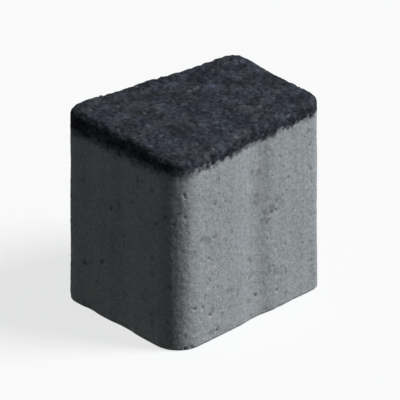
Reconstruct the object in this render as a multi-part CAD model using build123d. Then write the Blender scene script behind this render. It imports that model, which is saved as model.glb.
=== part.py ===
from build123d import *
import math
import os

# A small concrete paver of the kind laid in rows to look like split cobbles.
# It is moulded upright as one piece: a four-sided outline, wider at the front
# than at the back, whose sides have shallow upright hollows and whose corners
# are rounded, raised straight to the full height, with the upper edge rounded.
# Frame: X runs along the row of pavers, Y from the wide side to the narrow
# side, Z up. The origin is on the bed face, at the middle of the outer size.

# Driving dimensions, in millimetres. The widths are those of the outline
# before its corners are rounded, and a slant is how far an end leans inwards
# over the depth.
height = 80.0
depth = 80.0
front_width = 68.0
right_slant = 10.5
left_slant = 7.5

# Rounding of the long upper edge, and of the slight edge round the bed face
arris_radius = 3.0
bed_edge_radius = 0.6

# Corner radii of the flat upper face. The upright corners stand outside it
# by the rounding of the edge, so their radii are larger by that.
front_left_face_radius = 5.0
front_right_face_radius = 7.5
back_right_face_radius = 3.5
back_left_face_radius = 4.0

# Upright hollows in the sides. Each has its distance from the sharp corner
# where its side starts, its reach to both sides of there, and its depth. The
# sides run anticlockwise from the front left corner. Where a side is too
# short for a hollow's reach, it leaves a flat stretch next to the hollow.
front_hollow_1_at = 17.5
front_hollow_1_reach = 7.0
front_hollow_1_depth = 0.40
front_hollow_2_at = 37.0
front_hollow_2_reach = 11.0
front_hollow_2_depth = 0.60
right_hollow_1_at = 44.0
right_hollow_1_reach = 11.0
right_hollow_1_depth = 0.80
right_hollow_2_at = 65.0
right_hollow_2_reach = 6.0
right_hollow_2_depth = 0.20
back_hollow_at = 25.0
back_hollow_reach = 15.0
back_hollow_depth = 0.60
left_hollow_1_at = 24.0
left_hollow_1_reach = 14.5
left_hollow_1_depth = 0.50
left_hollow_2_at = 56.0
left_hollow_2_reach = 13.5
left_hollow_2_depth = 0.75
flat_beside_hollow = 0.5


def sharp_corners():
    """The four corners of the outline before rounding, anticlockwise."""
    return [
        Vector(0, 0),
        Vector(front_width, 0),
        Vector(front_width - right_slant, depth),
        Vector(left_slant, depth),
    ]


def corner_radii():
    """The radii of the upright corners, in the order of the corners."""
    face_radii = [
        front_left_face_radius,
        front_right_face_radius,
        back_right_face_radius,
        back_left_face_radius,
    ]
    return [face_radius + arris_radius for face_radius in face_radii]


def side_hollows():
    """The hollows of each side, in order along it: place, reach and depth."""
    front = [
        (front_hollow_1_at, front_hollow_1_reach, front_hollow_1_depth),
        (front_hollow_2_at, front_hollow_2_reach, front_hollow_2_depth),
    ]
    right = [
        (right_hollow_1_at, right_hollow_1_reach, right_hollow_1_depth),
        (right_hollow_2_at, right_hollow_2_reach, right_hollow_2_depth),
    ]
    back = [(back_hollow_at, back_hollow_reach, back_hollow_depth)]
    left = [
        (left_hollow_1_at, left_hollow_1_reach, left_hollow_1_depth),
        (left_hollow_2_at, left_hollow_2_reach, left_hollow_2_depth),
    ]
    return [front, right, back, left]


def arc_setback(before, corner, after, radius):
    """How far from a sharp corner the arc that rounds it starts and ends."""
    turn = (corner - before).get_angle(after - corner)
    return radius * math.tan(math.radians(turn) / 2)


def hollow_arcs(middle, along, inward, reach, deepest):
    """A hollow as three arcs: into it, round its bottom and out again."""
    start = middle - along * reach
    halfway_in = middle - along * (reach / 2) + inward * (deepest / 2)
    halfway_out = middle + along * (reach / 2) + inward * (deepest / 2)
    end = middle + along * reach
    inlet = TangentArc(start, halfway_in, tangent=along)
    bottom = TangentArc(halfway_in, halfway_out, tangent=inlet % 1)
    outlet = TangentArc(halfway_out, end, tangent=bottom % 1)
    return [inlet, bottom, outlet]


def side_curves(corner, next_corner, setback, next_setback, hollows):
    """One side between its corner arcs: straight runs and its hollows."""
    along = (next_corner - corner).normalized()
    inward = Vector(-along.Y, along.X)
    side_end = (next_corner - corner).length - next_setback
    run_start = setback
    curves = []
    for index, (place, reach, deepest) in enumerate(hollows):
        later = [hollow[0] for hollow in hollows[index + 1:]]
        room_after = (later[0] - place) / 2 if later else side_end - place
        room = min(place - run_start, room_after) - flat_beside_hollow
        reach = min(reach, room)
        if reach > 0:
            run_end = place - reach
            curves.append(Line(corner + along * run_start, corner + along * run_end))
            curves += hollow_arcs(corner + along * place, along, inward, reach, deepest)
            run_start = place + reach
    curves.append(Line(corner + along * run_start, corner + along * side_end))
    return curves


def outline():
    """The closed outline of the paver in plan, side by side and arc by arc."""
    corners = sharp_corners()
    radii = corner_radii()
    hollows = side_hollows()
    count = len(corners)
    setbacks = []
    for index in range(count):
        after = corners[(index + 1) % count]
        setbacks.append(arc_setback(corners[index - 1], corners[index], after, radii[index]))

    curves = []
    for index in range(count):
        following = (index + 1) % count
        corner = corners[index]
        next_corner = corners[following]
        curves += side_curves(corner, next_corner, setbacks[index], setbacks[following], hollows[index])
        arriving = (next_corner - corner).normalized()
        leaving = (corners[(index + 2) % count] - next_corner).normalized()
        arc_start = next_corner - arriving * setbacks[following]
        arc_end = next_corner + leaving * setbacks[following]
        curves.append(TangentArc(arc_start, arc_end, tangent=arriving))
    return Wire(curves)


def paver():
    """The whole paver, as one solid standing on its bed face."""
    block = extrude(make_face(outline()), height)
    block = fillet(block.edges().group_by(Axis.Z)[-1], arris_radius)
    block = fillet(block.edges().group_by(Axis.Z)[0], bed_edge_radius)
    box = block.bounding_box()
    middle = (box.min + box.max) / 2
    return Pos(-middle.X, -middle.Y, -box.min.Z) * block


os.makedirs("parts", exist_ok=True)
part = paver()
part.label = "paver"
export_step(part, "parts/paver.step")
print("paver", round(part.volume), "mm3", part.bounding_box().size)
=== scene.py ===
"""Dresses a small concrete paver and sets up the studio that shows it.

The paver is pressed from two mixes in one mould: a pale core, and a thin
anthracite facing that forms the walked face and wraps down over the upper
edge. Its skin is tessellated from the solid and roughened by a rule: slow
undulation, upright drag marks, grit, pores and pinholes in the core, grains
and chippings in the facing, and a slightly broken edge. The material follows
the same rule for where the facing ends and where its chippings lie. Its
colour also holds painted shade in the pores, pinholes, voids and the dips
between grains, and a painted highlight and painted shade in two upright
bands on the right side.
"""

import logging
import math
from dataclasses import dataclass
from enum import Enum
from typing import Any

import bmesh
import bpy
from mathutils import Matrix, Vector

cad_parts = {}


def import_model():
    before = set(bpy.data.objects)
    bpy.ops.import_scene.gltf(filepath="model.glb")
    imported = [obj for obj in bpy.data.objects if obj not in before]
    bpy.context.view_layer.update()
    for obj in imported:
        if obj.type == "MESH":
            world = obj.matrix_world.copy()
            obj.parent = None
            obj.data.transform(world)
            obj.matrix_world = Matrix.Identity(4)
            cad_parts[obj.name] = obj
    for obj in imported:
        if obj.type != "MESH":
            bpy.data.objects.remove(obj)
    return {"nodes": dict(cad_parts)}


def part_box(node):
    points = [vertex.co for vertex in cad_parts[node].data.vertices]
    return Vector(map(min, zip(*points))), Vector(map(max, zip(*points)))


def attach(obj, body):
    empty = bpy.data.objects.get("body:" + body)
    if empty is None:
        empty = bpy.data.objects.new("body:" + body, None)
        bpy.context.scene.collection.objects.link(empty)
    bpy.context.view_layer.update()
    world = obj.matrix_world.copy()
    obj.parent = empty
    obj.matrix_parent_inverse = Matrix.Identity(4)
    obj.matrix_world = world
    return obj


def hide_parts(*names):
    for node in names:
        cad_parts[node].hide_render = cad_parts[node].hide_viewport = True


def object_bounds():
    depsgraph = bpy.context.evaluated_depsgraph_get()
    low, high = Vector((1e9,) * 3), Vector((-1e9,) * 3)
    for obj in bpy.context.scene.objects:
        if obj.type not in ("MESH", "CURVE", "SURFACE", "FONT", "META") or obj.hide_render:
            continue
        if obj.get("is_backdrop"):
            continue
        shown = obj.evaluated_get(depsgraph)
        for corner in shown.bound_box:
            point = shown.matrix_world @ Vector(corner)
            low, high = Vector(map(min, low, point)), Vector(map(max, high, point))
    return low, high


LOG = logging.getLogger("paver")

NODE = "paver"
BODY = "root"
PORE = "pore"
MM = 0.001
PER_MM = 1 / MM

Colour = tuple[float, float, float, float]
Span = tuple[float, float]

WHITE: Colour = (1.0, 1.0, 1.0, 1.0)
BLACK: Colour = (0.0, 0.0, 0.0, 1.0)

# The middle of a random colour, whose parts run from nought to one
MIDDLE = 0.5
MIDDLES = (MIDDLE, MIDDLE, MIDDLE)

# How far a seed moves the patterns for each unit, in mm
SEED_STEP = (17.0, 5.0, 29.0)

# Corners of the solid's triangles that lie this near are one corner
WELD = 0.001 * MM


class Signal:
    """An output socket that adds Math nodes to its tree when it is used in sums."""

    def __init__(self, bench: "Bench", socket: bpy.types.NodeSocket) -> None:
        """Wraps one output socket of a node on the bench."""
        self.bench = bench
        self.socket = socket

    def other(self, name: str) -> "Signal":
        """Another output of the same node, by its name."""
        return Signal(self.bench, self.socket.node.outputs[name])

    def math(self, operation: str, *values: Any) -> "Signal":
        """This signal and the values, through one Math node."""
        return self.bench.math(operation, self, *values)

    def __add__(self, value: Any) -> "Signal":
        """The sum."""
        return self.math("ADD", value)

    __radd__ = __add__

    def __sub__(self, value: Any) -> "Signal":
        """The difference."""
        return self.math("SUBTRACT", value)

    def __rsub__(self, value: Any) -> "Signal":
        """The difference, with this signal taken away."""
        return self.bench.math("SUBTRACT", value, self)

    def __mul__(self, value: Any) -> "Signal":
        """The product."""
        return self.math("MULTIPLY", value)

    __rmul__ = __mul__

    def __truediv__(self, value: Any) -> "Signal":
        """The quotient."""
        return self.math("DIVIDE", value)

    def __rtruediv__(self, value: Any) -> "Signal":
        """The quotient, with this signal below the line."""
        return self.bench.math("DIVIDE", value, self)

    def __neg__(self) -> "Signal":
        """The same with the other sign."""
        return self.math("MULTIPLY", -1.0)

    def __abs__(self) -> "Signal":
        """The size without the sign."""
        return self.math("ABSOLUTE")

    def over(self, limit: Any) -> "Signal":
        """One where the signal is above the limit, otherwise nought."""
        return self.math("GREATER_THAN", limit)

    def under(self, limit: Any) -> "Signal":
        """One where the signal is below the limit, otherwise nought."""
        return self.math("LESS_THAN", limit)

    def larger(self, value: Any) -> "Signal":
        """The larger of the two."""
        return self.math("MAXIMUM", value)

    def rise(self, start: Any, end: Any) -> "Signal":
        """A smooth step from nought at the start to one at the end."""
        values = {"Value": self, "From Min": start, "From Max": end}
        return self.bench.node("ShaderNodeMapRange", {"interpolation_type": "SMOOTHSTEP"}, values)


class Bench:
    """A node tree and the few ways that this script adds nodes to it."""

    def __init__(self, tree: bpy.types.NodeTree) -> None:
        """Takes the tree that the nodes go into."""
        self.tree = tree

    def node(self, kind: str, settings: dict[str, Any] | None = None,
             values: dict[Any, Any] | None = None, output: str | int = 0) -> Signal:
        """Adds one node.

        Args:
            kind: the node's type.
            settings: the node's own properties, set before its sockets.
            values: what each input gets, by the input's name or number: a
                signal to link, or a number, vector, colour or datablock.
            output: the output that is returned, by its name or number.

        Returns:
            The chosen output.
        """
        made = self.tree.nodes.new(kind)
        for name, value in (settings or {}).items():
            setattr(made, name, value)
        for name, value in (values or {}).items():
            if isinstance(value, Signal):
                self.tree.links.new(value.socket, made.inputs[name])
            else:
                made.inputs[name].default_value = value
        return Signal(self, made.outputs[output])

    def end(self, kind: str, values: dict[Any, Signal]) -> None:
        """Adds the tree's last node, which has inputs alone, and links them."""
        made = self.tree.nodes.new(kind)
        for name, value in values.items():
            self.tree.links.new(value.socket, made.inputs[name])

    def math(self, operation: str, *values: Any) -> Signal:
        """One Math node with the values on its inputs in order."""
        return self.node("ShaderNodeMath", {"operation": operation}, dict(enumerate(values)))

    def vector(self, operation: str, first: Any, second: Any, output: str | int = 0) -> Signal:
        """One Vector Math node on two vectors."""
        return self.node("ShaderNodeVectorMath", {"operation": operation}, {0: first, 1: second}, output)

    def scaled(self, vector: Any, factor: Any) -> Signal:
        """A vector or colour times a number."""
        return self.node("ShaderNodeVectorMath", {"operation": "SCALE"}, {0: vector, "Scale": factor})

    def parts(self, vector: Any) -> Signal:
        """A vector taken apart: its X, with Y and Z as the other outputs."""
        return self.node("ShaderNodeSeparateXYZ", {}, {0: vector}, "X")

    def mixed(self, first: Any, second: Any, share: Any) -> Signal:
        """A colour between two others."""
        return self.node("ShaderNodeMix", {"data_type": "RGBA"}, {0: share, 6: first, 7: second}, 2)

    def clouds(self, place: Signal, width: Any, detail: float = 2.0, harshness: float = 0.5) -> Signal:
        """Cloudy noise from 0 to 1 whose lumps are about as wide as given, in mm."""
        values = {"Vector": place, "Scale": 1.0 / width, "Detail": detail, "Roughness": harshness}
        return self.node("ShaderNodeTexNoise", {}, values)

    def noise(self, place: Signal, width: Any, detail: float = 2.0, harshness: float = 0.5) -> Signal:
        """The same noise from -1 to 1."""
        return 2.0 * self.clouds(place, width, detail, harshness) - 1.0

    def cells(self, place: Signal, width: Any) -> Signal:
        """Distance from the nearest of many scattered points, in cell widths."""
        return self.node("ShaderNodeTexVoronoi", {}, {"Vector": place, "Scale": 1.0 / width})

    def facets(self, cells: Signal, place: Signal) -> Signal:
        """Flat faces, one on each cell and each tipped its own way, as heights in mm."""
        from_middle = self.vector("SUBTRACT", place, cells.other("Position"))
        tip = self.vector("SUBTRACT", cells.other("Color"), MIDDLES)
        return self.vector("DOT_PRODUCT", from_middle, tip, "Value")

    def bent(self, place: Signal, width: float, reach: float) -> Signal:
        """Places moved about by noise, so that what is round there comes out ragged."""
        shift = self.vector("SUBTRACT", self.clouds(place, width).other("Color"), MIDDLES)
        return self.vector("ADD", place, self.scaled(shift, 2.0 * reach))

    def drawn(self, place: Signal, across: Any, upright: Any) -> Signal:
        """Places divided so that a pattern one mm wide comes out drawn upright."""
        stretch = self.node("ShaderNodeCombineXYZ", {}, {"X": across, "Y": across, "Z": upright})
        return self.vector("DIVIDE", place, stretch)


@dataclass(frozen=True)
class Seam:
    """The wandering line where the facing ends and the core begins, in mm.

    Whole grains fall on one side of it or the other. It is softer at the front,
    and grows so over the span of distances in front of the paver's middle.
    """

    depth: float = 7.7
    lean: float = 0.05
    wander: float = 0.7
    wander_width: float = 12.0
    ragged: float = 1.5
    ragged_width: float = 3.5
    grainy: float = 1.5
    grain_width: float = 1.35
    grain_bend_width: float = 0.8
    grain_bend: float = 0.4
    whole_grains: float = 0.6
    softness: float = 1.3
    front_softness: float = 3.0
    front_span: Span = (24.0, 38.0)

    def facing(self, bench: Bench, place: Signal, top: float | Signal) -> Signal:
        """One on the facing and nought on the core, at each place of the skin.

        Args:
            bench: the tree that the nodes go into.
            place: the place on the paver, in mm.
            top: the height of the walked face, in mm.

        Returns:
            The share of facing mix.
        """
        across = bench.parts(place)
        wander = self.wander * bench.noise(place, self.wander_width, detail=1.0)
        ragged = self.ragged * bench.noise(place, self.ragged_width, harshness=0.6)
        bent = bench.bent(place, self.grain_bend_width, self.grain_bend)
        grains = bench.cells(bent, self.grain_width)
        strays = self.grainy * (bench.parts(grains.other("Color")) - MIDDLE)
        line = top - self.depth + self.lean * across + wander + ragged + strays
        grain_height = bench.parts(grains.other("Position")).other("Z")
        height = self.whole_grains * grain_height + (1.0 - self.whole_grains) * across.other("Z")
        front = (-across.other("Y")).rise(*self.front_span)
        softness = self.softness + (self.front_softness - self.softness) * front
        return (height - line).rise(-softness, softness)


@dataclass(frozen=True)
class Chippings:
    """The larger crushed stones that lie here and there in the facing, in mm.

    The span of a stone's edge is in cell widths from its middle.
    """

    spacing: float = 4.4
    share: float = 0.42
    bend_width: float = 2.4
    bend: float = 1.2
    edge: Span = (0.26, 0.42)

    def inside(self, bench: Bench, place: Signal) -> tuple[Signal, Signal]:
        """Where the stones are.

        Args:
            bench: the tree that the nodes go into.
            place: the place on the paver, in mm.

        Returns:
            One inside a stone and nought between them, and each stone's own draw.
        """
        stones = bench.cells(bench.bent(place, self.bend_width, self.bend), self.spacing)
        draw = bench.parts(stones.other("Color"))
        return (1.0 - stones.rise(*self.edge)) * draw.under(self.share), draw.other("Y")


@dataclass(frozen=True)
class FacingMix:
    """The anthracite facing: crushed dark stone in a pigmented binder, in mm.

    The spans of patches and mottle are in the noise from -1 to 1, and those of
    dips and crowns are in cell widths from a grain's middle.
    """

    cool: Colour = (0.0337, 0.0389, 0.0550, 1.0)
    warm: Colour = (0.0376, 0.0422, 0.0513, 1.0)
    patch_width: float = 11.0
    patch_span: Span = (-0.3, 0.3)
    grain_width: float = 1.45
    grain_bend_width: float = 0.9
    grain_bend: float = 0.5
    grain_low: float = 0.60
    grain_high: float = 1.45
    fine_width: float = 0.6
    fine_share: float = 0.30
    mottle_width: float = 8.0
    mottle_span: Span = (-0.3, 0.3)
    mottle: float = 0.30
    dip_span: Span = (0.45, 0.85)
    dip_painted_shade: float = 0.45
    stone_low: float = 0.50
    stone_high: float = 1.75
    fleck: Colour = (0.085, 0.090, 0.100, 1.0)
    fleck_share: float = 0.02
    stones: Chippings = Chippings()
    roughness: float = 0.84
    grain_gloss: float = 0.20
    fresh_span: Span = (0.6, 1.0)
    crown_span: Span = (0.45, 0.8)
    least_crown: float = 0.5
    fine_relief: float = 0.8
    bump: float = 0.13
    facet: float = 0.40

    def ragged(self, bench: Bench, place: Signal) -> Signal:
        """Places bent so that the grains come out of round."""
        return bench.bent(place, self.grain_bend_width, self.grain_bend)

    def grains(self, bench: Bench, place: Signal) -> Signal:
        """The grains, bent out of round: how far from each middle, with a colour draw."""
        return bench.cells(self.ragged(bench, place), self.grain_width)

    def colour(self, bench: Bench, place: Signal) -> Signal:
        """The facing's colour over the paver.

        Args:
            bench: the tree that the nodes go into.
            place: the place on the paver, in mm.

        Returns:
            The colour.
        """
        patch = bench.noise(place, self.patch_width).rise(*self.patch_span)
        base = bench.mixed(self.cool, self.warm, patch)
        grains = self.grains(bench, place)
        draw = bench.parts(grains.other("Color"))
        fine = 1.0 + self.fine_share * bench.noise(place, self.fine_width, harshness=0.7)
        tone = draw * (self.grain_high - self.grain_low) + self.grain_low
        # Painted shade in the dips between the grains, where the relief sinks
        shaded_dips = 1.0 - self.dip_painted_shade * grains.rise(*self.dip_span)
        stone, stone_draw = self.stones.inside(bench, place)
        stone_tone = stone_draw * (self.stone_high - self.stone_low) + self.stone_low
        tone = (1.0 - stone) * tone * shaded_dips + stone * stone_tone
        light = bench.noise(place, self.mottle_width, harshness=0.6).rise(*self.mottle_span)
        tone = tone * (1.0 + self.mottle * (2.0 * light - 1.0))
        flecked = draw.other("Y").over(1.0 - self.fleck_share)
        return bench.mixed(bench.scaled(base, tone * fine), self.fleck, flecked)

    def relief(self, bench: Bench, place: Signal) -> Signal:
        """The facing's finest relief, in mm.

        Args:
            bench: the tree that the nodes go into.
            place: the place on the paver, in mm.

        Returns:
            The height of the skin.
        """
        grains = self.grains(bench, place)
        raised = self.least_crown + bench.parts(grains.other("Color")).other("Z")
        crowns = raised * (1.0 - grains.rise(*self.crown_span))
        faces = bench.facets(grains, self.ragged(bench, place))
        fine = bench.noise(place, self.fine_width, detail=3.0, harshness=0.7)
        return self.bump * (crowns + self.fine_relief * fine) + self.facet * faces

    def gloss(self, bench: Bench, place: Signal) -> Signal:
        """The facing's roughness: a few grains have a fresh, smoother face."""
        draw = bench.parts(self.grains(bench, place).other("Color"))
        return self.roughness - self.grain_gloss * draw.other("Z").rise(*self.fresh_span)


@dataclass(frozen=True)
class PaintedShadingStreak:
    """A faint upright band on the right side, in mm: painted highlight where its tone is above nought,
    painted shade where below, deepening the shading of the side's hollow.
    """

    at: float
    half_width: float
    tone: float
    bend_width: float = 14.0
    bend: float = 1.2
    side_span: Span = (10.0, 18.0)

    def over(self, bench: Bench, place: Signal) -> Signal:
        """The painted light that the band adds at each place: lighter for a highlight, darker for shade.
        """
        across = bench.parts(place)
        bend = self.bend * bench.noise(place, self.bend_width, detail=1.0)
        along = across.other("Y") - self.at + bend
        inside = 1.0 - (abs(along) / self.half_width).rise(0.0, 1.0)
        return self.tone * inside * across.rise(*self.side_span)


@dataclass(frozen=True)
class CoreMix:
    """The pale core: grey cement, sand and small gravel, in mm.

    The span of a piece of gravel's edge is in cell widths from its middle, and
    that of the voids is in the noise from -1 to 1.
    """

    paste: Colour = (0.345, 0.372, 0.391, 1.0)
    gravel_light: Colour = (0.405, 0.420, 0.425, 1.0)
    gravel_dark: Colour = (0.255, 0.272, 0.290, 1.0)
    gravel_width: float = 4.0
    gravel_share: float = 0.14
    gravel_bend_width: float = 2.0
    gravel_bend: float = 1.6
    gravel_edge: Span = (0.22, 0.46)
    mottle_width: float = 16.0
    mottle: float = 0.10
    sand_width: float = 0.8
    sand: float = 0.30
    streak_width: float = 4.5
    streak_length: float = 90.0
    streak: float = 0.08
    # Painted highlight and painted shade: two upright bands on the right side that deepen the shading of
    # its hollow
    painted_highlight_streak: PaintedShadingStreak = PaintedShadingStreak(at=-2.5, half_width=6.0, tone=0.035)
    painted_shade_streak: PaintedShadingStreak = PaintedShadingStreak(at=9.0, half_width=6.5, tone=-0.11)
    void_width: float = 1.5
    void_span: Span = (0.24, 0.52)
    void_painted_shade: float = 0.45
    void_depth: float = 0.30
    pore_painted_shade: float = 0.40
    roughness: float = 0.93
    crumb: float = 1.4
    bump: float = 0.05

    def voids(self, bench: Bench, place: Signal) -> Signal:
        """Small open voids between the sand grains, one where they are deepest."""
        return bench.noise(place, self.void_width, detail=4.0, harshness=0.62).rise(*self.void_span)

    def colour(self, bench: Bench, place: Signal, pores: Signal) -> Signal:
        """The core's colour over the paver.

        Args:
            bench: the tree that the nodes go into.
            place: the place on the paver, in mm.
            pores: how deep in a pore each point lies, from nought to one; it darkens the colour as
                painted shade.

        Returns:
            The colour.
        """
        bent = bench.bent(place, self.gravel_bend_width, self.gravel_bend)
        stones = bench.cells(bent, self.gravel_width)
        draw = bench.parts(stones.other("Color"))
        inside = 1.0 - stones.rise(*self.gravel_edge)
        light = inside * draw.under(self.gravel_share)
        dark = inside * draw.over(1.0 - self.gravel_share)
        base = bench.mixed(self.paste, self.gravel_light, light)
        base = bench.mixed(base, self.gravel_dark, dark)
        sand = bench.parts(bench.cells(place, self.sand_width).other("Color")) - MIDDLE
        drawn = bench.drawn(place, self.streak_width, self.streak_length)
        drag = bench.noise(drawn, 1.0, detail=1.0)
        tone = 1.0 + self.mottle * bench.noise(place, self.mottle_width, detail=3.0)
        tone = tone + self.sand * sand + self.streak * drag
        # Painted highlight and painted shade from the two upright bands on the right side
        tone = tone + self.painted_highlight_streak.over(bench, place) + self.painted_shade_streak.over(bench, place)
        # Painted shade in the small voids, darkest where they are deepest
        tone = tone * (1.0 - self.void_painted_shade * self.voids(bench, place))
        # Painted shade in the pores and pinholes: the colour is darker the deeper a point lies in one
        return bench.scaled(base, tone * (1.0 - self.pore_painted_shade * pores))

    def relief(self, bench: Bench, place: Signal) -> Signal:
        """The core's finest relief, in mm.

        Args:
            bench: the tree that the nodes go into.
            place: the place on the paver, in mm.

        Returns:
            The height of the skin.
        """
        fine = bench.noise(place, self.sand_width, detail=3.0, harshness=0.7)
        crumbs = self.crumb * fine - bench.cells(place, self.sand_width)
        return self.bump * crumbs - self.void_depth * self.voids(bench, place)


@dataclass(frozen=True)
class ConcreteFinish:
    """The paver's one material, which shows both mixes."""

    facing: FacingMix = FacingMix()
    core: CoreMix = CoreMix()
    seam: Seam = Seam()
    specular: float = 0.15

    def build(self, top: float) -> bpy.types.Material:
        """Makes the material.

        Args:
            top: the height of the walked face, in mm.

        Returns:
            The material.
        """
        material = bpy.data.materials.new("two_mix_concrete")
        material.use_nodes = True
        material.node_tree.nodes.clear()
        bench = Bench(material.node_tree)
        place = bench.scaled(bench.node("ShaderNodeTexCoord", output="Object"), PER_MM)
        pores = bench.node("ShaderNodeAttribute", {"attribute_name": PORE}, output="Fac")
        facing = self.seam.facing(bench, place, top)
        core_colour = self.core.colour(bench, place, pores)
        gloss = facing * self.facing.gloss(bench, place)
        relief = facing * self.facing.relief(bench, place)
        relief = relief + (1.0 - facing) * self.core.relief(bench, place)
        shader = bench.node("ShaderNodeBsdfPrincipled", {}, {
            "Base Color": bench.mixed(core_colour, self.facing.colour(bench, place), facing),
            "Roughness": gloss + (1.0 - facing) * self.core.roughness,
            "Normal": bench.node("ShaderNodeBump", {}, {"Distance": MM, "Height": relief}),
            "Specular IOR Level": self.specular,
        })
        bench.end("ShaderNodeOutputMaterial", {"Surface": shader})
        return material


@dataclass
class PaverBlock:
    """The moulded paver: the tessellated solid and the relief of its skin, in mm.

    The sizes up to the seed are inputs of the relief tree. Of the spans, the
    turns are in the upward part of the skin's normal, those of the pits and
    grains in widths from a middle, and those of the edge in the noise.
    """

    voxel: float = 0.60
    swell_width: float = 27.0
    swell: float = 0.30
    drag_width: float = 3.6
    drag_length: float = 90.0
    drag: float = 0.16
    grit_width: float = 2.1
    grit: float = 0.22
    pore_spacing: float = 5.2
    pore_share: float = 0.30
    pore_radius: float = 0.24
    pore_depth: float = 0.8
    pinhole_spacing: float = 2.4
    pinhole_share: float = 0.30
    pinhole_depth: float = 0.4
    grain_width: float = 1.9
    grain: float = 0.22
    grain_facet: float = 0.46
    stone_height: float = 0.30
    face_swell_width: float = 8.0
    face_swell: float = 0.22
    break_width: float = 6.5
    edge_break: float = 0.9
    crumble: float = 0.7
    seed: float = 11.0
    side_turn: Span = (0.15, 0.6)
    face_turn: Span = (0.6, 0.97)
    bed_turn: Span = (0.3, 0.8)
    arris_start: Span = (0.02, 0.35)
    arris_end: Span = (0.9, 0.999)
    foot_height: Span = (0.6, 2.8)
    pit_wall: Span = (0.35, 1.0)
    least_pit: float = 0.45
    pore_bend_width: float = 2.2
    pore_bend: float = 1.2
    pinhole_radius: float = 0.28
    pinhole_painted_shade: float = 0.7
    grain_bend_width: float = 1.5
    grain_bend: float = 0.7
    grain_span: Span = (0.35, 0.8)
    least_grain: float = 0.4
    mean_grain: float = 0.5
    side_grain: float = 0.35
    break_span: Span = (0.05, 0.6)
    crumble_span: Span = (0.0, 0.5)
    seam: Seam = Seam()
    stones: Chippings = Chippings()

    def inputs(self) -> dict[str, float]:
        """The named sizes that the relief tree takes, with their values."""
        return {
            "Swell Width": self.swell_width,
            "Swell": self.swell,
            "Drag Width": self.drag_width,
            "Drag Length": self.drag_length,
            "Drag": self.drag,
            "Grit Width": self.grit_width,
            "Grit": self.grit,
            "Pore Spacing": self.pore_spacing,
            "Pore Share": self.pore_share,
            "Pore Radius": self.pore_radius,
            "Pore Depth": self.pore_depth,
            "Pinhole Spacing": self.pinhole_spacing,
            "Pinhole Share": self.pinhole_share,
            "Pinhole Depth": self.pinhole_depth,
            "Grain Width": self.grain_width,
            "Grain": self.grain,
            "Grain Facet": self.grain_facet,
            "Stone Height": self.stone_height,
            "Face Swell Width": self.face_swell_width,
            "Face Swell": self.face_swell,
            "Break Width": self.break_width,
            "Edge Break": self.edge_break,
            "Crumble": self.crumble,
            "Seed": self.seed,
            "Top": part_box(NODE)[1].z * PER_MM,
        }

    def pits(self, bench: Bench, place: Signal, spacing: Signal, share: Signal,
             radius: float | Signal) -> Signal:
        """Round pits in a share of scattered cells: one at a pit's floor, nought outside.

        Args:
            bench: the tree that the nodes go into.
            place: the place on the skin, in mm.
            spacing: how far apart the cells are, in mm.
            share: the share of the cells that have a pit.
            radius: the largest pit's radius, in cell widths.

        Returns:
            How deep in a pit each point lies.
        """
        cell = bench.cells(place, spacing)
        draw = bench.parts(cell.other("Color"))
        reach = radius * (self.least_pit + (1.0 - self.least_pit) * draw.other("Y"))
        return (1.0 - (cell / reach).rise(*self.pit_wall)) * draw.under(share)

    def relief(self, bench: Bench, size: dict[str, Signal], place: Signal,
               normal: Signal) -> tuple[Signal, Signal]:
        """How far the skin stands out at each point, and how deep in a pore it lies.

        Args:
            bench: the tree that the nodes go into.
            size: the tree's named inputs.
            place: the place on the skin, in mm.
            normal: the skin's normal there.

        Returns:
            The height in mm, negative inwards, and the pore depth from nought to one, which the material
            darkens as painted shade.
        """
        facing_up = bench.parts(normal).other("Z")
        height = bench.parts(place).other("Z")
        side = 1.0 - abs(facing_up).rise(*self.side_turn)
        face = facing_up.rise(*self.face_turn)
        bed = (-facing_up).rise(*self.bed_turn)
        arris = facing_up.rise(*self.arris_start) * (1.0 - facing_up.rise(*self.arris_end))
        facing = self.seam.facing(bench, place, size["Top"])
        core = side * (1.0 - facing)

        sown = bench.vector("ADD", place, bench.scaled(SEED_STEP, size["Seed"]))
        swell = size["Swell"] * bench.noise(sown, size["Swell Width"], detail=1.0)
        drawn = bench.drawn(sown, size["Drag Width"], size["Drag Length"])
        drag = side * size["Drag"] * bench.noise(drawn, 1.0, detail=3.0, harshness=0.6)
        grit = core * size["Grit"] * bench.noise(sown, size["Grit Width"], detail=3.0, harshness=0.65)

        ragged = bench.bent(sown, self.pore_bend_width, self.pore_bend)
        pores = self.pits(bench, ragged, size["Pore Spacing"], size["Pore Share"], size["Pore Radius"])
        pinholes = self.pits(
            bench, sown, size["Pinhole Spacing"], size["Pinhole Share"], self.pinhole_radius)
        pitting = core * (size["Pore Depth"] * pores + size["Pinhole Depth"] * pinholes)

        jostled = bench.bent(sown, self.grain_bend_width, self.grain_bend)
        grains = bench.cells(jostled, size["Grain Width"])
        raised = self.least_grain + bench.parts(grains.other("Color")).other("Z")
        crowns = (1.0 - grains.rise(*self.grain_span)) * raised - self.mean_grain
        facets = bench.facets(grains, jostled)
        skin = size["Grain"] * crowns + size["Grain Facet"] * facets
        face_swell = bench.noise(sown, size["Face Swell Width"], detail=3.0, harshness=0.6)
        bosses = size["Stone Height"] * self.stones.inside(bench, place)[0]
        worn = facing * (skin + size["Face Swell"] * face_swell + bosses)
        worn = worn * (self.side_grain + (1.0 - self.side_grain) * face)

        breaks = bench.noise(sown, size["Break Width"], detail=3.0, harshness=0.65)
        broken = arris * size["Edge Break"] * breaks.rise(*self.break_span)
        foot = side * (1.0 - height.rise(*self.foot_height))
        crumbled = foot * size["Crumble"] * breaks.rise(*self.crumble_span)

        stands_out = swell + drag + grit + worn - pitting - broken - crumbled
        # The second value is the pore mask that the material darkens as painted shade
        return (1.0 - bed) * stands_out, core * pores.larger(self.pinhole_painted_shade * pinholes)

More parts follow.
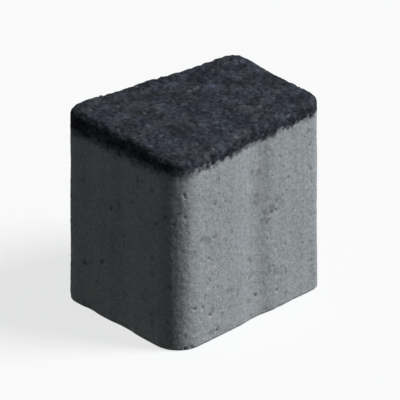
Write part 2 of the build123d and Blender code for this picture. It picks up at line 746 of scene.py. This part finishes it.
    def relief_tree(self) -> bpy.types.NodeTree:
        """The tree that roughens the skin, with named inputs for its sizes."""
        tree = bpy.data.node_groups.new("paver_relief", "GeometryNodeTree")
        tree.interface.new_socket("Geometry", in_out="INPUT", socket_type="NodeSocketGeometry")
        for name in self.inputs():
            tree.interface.new_socket(name, in_out="INPUT", socket_type="NodeSocketFloat")
        tree.interface.new_socket("Material", in_out="INPUT", socket_type="NodeSocketMaterial")
        tree.interface.new_socket("Geometry", in_out="OUTPUT", socket_type="NodeSocketGeometry")
        bench = Bench(tree)
        given = bench.node("NodeGroupInput", output="Geometry")
        size = {name: given.other(name) for name in self.inputs()}
        normal = bench.node("GeometryNodeInputNormal", output="Normal")
        place = bench.scaled(bench.node("GeometryNodeInputPosition"), PER_MM)
        stands_out, pore = self.relief(bench, size, place, normal)
        marked = bench.node("GeometryNodeStoreNamedAttribute", {"data_type": "FLOAT", "domain": "POINT"},
                            {"Geometry": given, "Name": PORE, "Value": pore})
        offset = bench.scaled(normal, stands_out * MM)
        shaped = bench.node("GeometryNodeSetPosition", {}, {"Geometry": marked, "Offset": offset})
        smooth = bench.node("GeometryNodeSetShadeSmooth", {}, {"Geometry": shaped, "Shade Smooth": True})
        real = bench.node("GeometryNodeRealizeInstances", {}, {"Geometry": smooth})
        finished = bench.node("GeometryNodeSetMaterial", {},
                              {"Geometry": real, "Material": given.other("Material")})
        bench.end("NodeGroupOutput", {"Geometry": finished})
        return tree

    def closed_copy(self, node: bpy.types.Object) -> bpy.types.Object:
        """A copy of the solid's mesh with its loose triangles joined."""
        mesh = node.data.copy()
        work = bmesh.new()
        work.from_mesh(mesh)
        bmesh.ops.remove_doubles(work, verts=work.verts, dist=WELD)
        work.to_mesh(mesh)
        work.free()
        mesh.materials.clear()
        copy = bpy.data.objects.new("paver_skin_source", mesh)
        bpy.context.scene.collection.objects.link(copy)
        return copy

    def build(self, node: bpy.types.Object, material: bpy.types.Material) -> bpy.types.Object:
        """Makes the piece that stands for the solid.

        Args:
            node: the solid's own object, which is left as it is.
            material: the finish of the whole skin.

        Returns:
            The finished piece, a plain mesh.
        """
        source = self.closed_copy(node)
        remesh = source.modifiers.new("tessellate", "REMESH")
        remesh.mode = "VOXEL"
        remesh.voxel_size = self.voxel * MM
        relief = source.modifiers.new("relief", "NODES")
        relief.node_group = self.relief_tree()
        sockets = {item.name: item.identifier for item in relief.node_group.interface.items_tree
                   if item.in_out == "INPUT"}
        for name, value in self.inputs().items():
            relief[sockets[name]] = value
        relief[sockets["Material"]] = material
        graph = bpy.context.evaluated_depsgraph_get()
        mesh = bpy.data.meshes.new_from_object(source.evaluated_get(graph))
        bpy.data.objects.remove(source)
        piece = bpy.data.objects.new("paver_block", mesh)
        bpy.context.scene.collection.objects.link(piece)
        return piece


@dataclass(frozen=True)
class LampSetting:
    """Where a lamp hangs and how it shines.

    The bearing runs from +X towards +Y. The brightness is that of a white card
    that faces the lamp. The angles are in degrees.
    """

    bearing: float
    height: float
    brightness: float
    spread: float


class Lamp(Enum):
    """The two lamps of the studio."""

    KEY = LampSetting(bearing=45.0, height=46.5, brightness=1.27, spread=24.0)
    FILL = LampSetting(bearing=200.0, height=20.0, brightness=0.06, spread=40.0)

    def light(self) -> None:
        """Hangs the lamp in the scene."""
        setting = self.value
        data = bpy.data.lights.new(f"{self.name.lower()}_lamp", "SUN")
        data.energy = setting.brightness * math.pi
        data.angle = math.radians(setting.spread)
        lamp = bpy.data.objects.new(data.name, data)
        flat, up = math.radians(setting.bearing), math.radians(setting.height)
        towards = Vector((math.cos(flat) * math.cos(up), math.sin(flat) * math.cos(up), math.sin(up)))
        lamp.rotation_euler = towards.to_track_quat("Z", "Y").to_euler()
        bpy.context.scene.collection.objects.link(lamp)


@dataclass
class Studio:
    """The pale floor and backdrop, the lamps and the camera, in metres and degrees."""

    azimuth: float = 50.1
    elevation: float = 27.0
    frame_width: float = 0.150
    camera_distance: float = 1.0
    floor_width: float = 8.0
    backdrop_radius: float = 5.0
    pale: Colour = (0.955, 0.96, 0.965, 1.0)
    glow: float = 0.78
    floor_tone: Colour = (0.20, 0.20, 0.20, 1.0)
    ambient: float = 0.070

    def pale_surface(self, name: str, glow: float, tone: Colour) -> bpy.types.Material:
        """A plain pale material that shines a little of its own.

        Args:
            name: the material's name.
            glow: how bright it shines, as a share of the pale colour.
            tone: its colour where light falls on it.

        Returns:
            The material.
        """
        material = bpy.data.materials.new(name)
        material.use_nodes = True
        material.node_tree.nodes.clear()
        bench = Bench(material.node_tree)
        shader = bench.node("ShaderNodeBsdfPrincipled", {}, {
            "Base Color": tone,
            "Roughness": 1.0,
            "Specular IOR Level": 0.0,
            "Emission Color": self.pale,
            "Emission Strength": glow,
        })
        bench.end("ShaderNodeOutputMaterial", {"Surface": shader})
        return material

    def show_only_to_camera(self, stand: bpy.types.Object) -> None:
        """Keeps the glow of a stage piece off the paver."""
        stand.visible_diffuse = False
        stand.visible_glossy = False
        stand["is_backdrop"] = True

    def floor(self) -> None:
        """The floor that the paver stands on."""
        bpy.ops.mesh.primitive_plane_add(size=self.floor_width)
        floor = bpy.context.object
        floor.name = "floor"
        floor.data.materials.append(self.pale_surface("floor_pale", self.glow, self.floor_tone))
        self.show_only_to_camera(floor)

    def backdrop(self) -> None:
        """A pale dome round it all, seen past the floor's edge."""
        bpy.ops.mesh.primitive_uv_sphere_add(radius=self.backdrop_radius, segments=48, ring_count=24)
        dome = bpy.context.object
        dome.name = "backdrop"
        dome.visible_shadow = False
        dome.data.materials.append(self.pale_surface("backdrop_pale", 1.0, BLACK))
        self.show_only_to_camera(dome)

    def world(self) -> None:
        """The weak even light of the room."""
        world = bpy.data.worlds.new("room")
        world.use_nodes = True
        background = world.node_tree.nodes["Background"]
        background.inputs["Color"].default_value = WHITE
        background.inputs["Strength"].default_value = self.ambient
        bpy.context.scene.world = world

    def camera(self, low: Vector, high: Vector) -> None:
        """The camera, without perspective, aimed at the middle of the paver.

        Args:
            low: the paver's lowest corner.
            high: its highest corner.
        """
        data = bpy.data.cameras.new("camera")
        data.type = "ORTHO"
        data.ortho_scale = self.frame_width
        data.clip_end = 2 * self.backdrop_radius
        camera = bpy.data.objects.new("camera", data)
        around, up = math.radians(self.azimuth), math.radians(self.elevation)
        back = Vector((math.sin(around) * math.cos(up), -math.cos(around) * math.cos(up), math.sin(up)))
        camera.location = (low + high) / 2 + back * self.camera_distance
        camera.rotation_euler = (-back).to_track_quat("-Z", "Y").to_euler()
        bpy.context.scene.collection.objects.link(camera)
        bpy.context.scene.camera = camera

    def build(self, low: Vector, high: Vector) -> None:
        """Sets the whole studio up.

        Args:
            low: the paver's lowest corner.
            high: its highest corner.
        """
        self.floor()
        self.backdrop()
        self.world()
        for lamp in Lamp:
            lamp.light()
        self.camera(low, high)
        bpy.context.scene.view_settings.view_transform = "Standard"


def report(piece: bpy.types.Object) -> None:
    """Logs a finished piece's name and how fine its mesh is."""
    triangles = sum(len(face.vertices) - 2 for face in piece.data.polygons)
    LOG.info("%s: %d triangles, material %s", piece.name, triangles, piece.data.materials[0].name)


def main() -> None:
    """Builds the paver and its studio in order."""
    logging.basicConfig(level=logging.INFO, format="%(message)s")
    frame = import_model()
    low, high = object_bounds()

    finish = ConcreteFinish()
    material = finish.build(high.z * PER_MM)
    shape = PaverBlock(seam=finish.seam, stones=finish.facing.stones)
    block = shape.build(frame["nodes"][NODE], material)
    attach(block, BODY)
    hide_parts(NODE)
    report(block)

    Studio().build(low, high)


if __name__ == "__main__":
    main()
